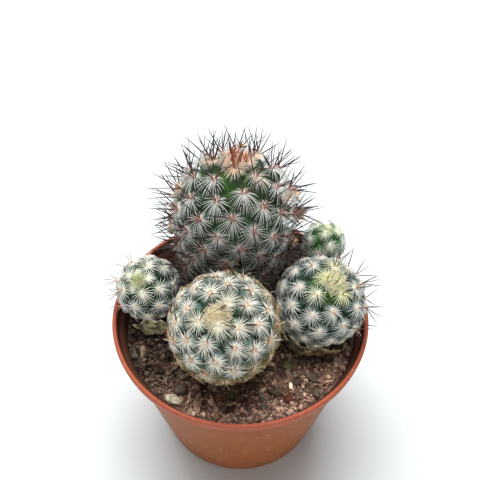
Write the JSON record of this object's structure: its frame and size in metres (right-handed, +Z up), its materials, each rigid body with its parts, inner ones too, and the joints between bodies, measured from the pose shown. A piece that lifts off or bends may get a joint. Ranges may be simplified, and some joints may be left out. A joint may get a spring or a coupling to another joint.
{
  "type": "potted mammillaria microhelia",
  "caption": "Clump of Mammillaria microhelia heads with golden-angle tubercles, star-shaped white radial spines and dark central spines, in soil in a round plastic nursery pot.",
  "frame": {"origin": "middle of the pot's flat underside, on the surface it stands on", "axes": "+Z up out of the pot, +Y away from the viewer towards the tallest head, +X to the viewer's right"},
  "size_m": [0.111, 0.1091, 0.1374],
  "materials": {
    "pot": "terracotta-coloured thin plastic with a soft sheen, brighter at the lip",
    "soil": "dark brown peat and bark mix, crumbly and matte",
    "head_main": "green skin under white spines, red-brown to black centrals",
    "head_front": "mint green skin thick with cream spines",
    "head_right": "green skin with white spines",
    "head_left": "green skin with white spines",
    "head_back": "vivid young green skin with short white spines",
    "stone_pale": "cream grit, matte",
    "stone_green": "olive green pebble, smooth",
    "stone_brown": "brown grit, matte",
    "stone_grey": "grey pebble, smooth",
    "bark": "flat scrap of bark",
    "twig": "thin pale twig"
  },
  "bodies": {
    "root": {"pot": "pot", "soil": "soil", "head_main": "head_main", "head_front": "head_front", "head_right": "head_right", "head_left": "head_left", "head_back": "head_back", "stone_cream": "stone_pale", "pebble_brown": "stone_brown", "stone_tan": "stone_brown", "stone_grey_left": "stone_grey", "pebble_green_front": "stone_green", "pebble_green_middle": "stone_green", "pebble_olive": "stone_green", "stone_cream_small": "stone_pale", "pebble_purple": "stone_grey", "pebble_blue_grey": "stone_grey", "stone_grey_tan": "stone_brown", "stone_brown_flat": "stone_brown", "stone_pale": "stone_pale", "pebble_grey_front": "stone_grey", "stone_grey_green": "stone_green", "bark_red": "bark", "bark_dark": "bark", "twig_pale": "twig"}
  },
  "joints": []
}
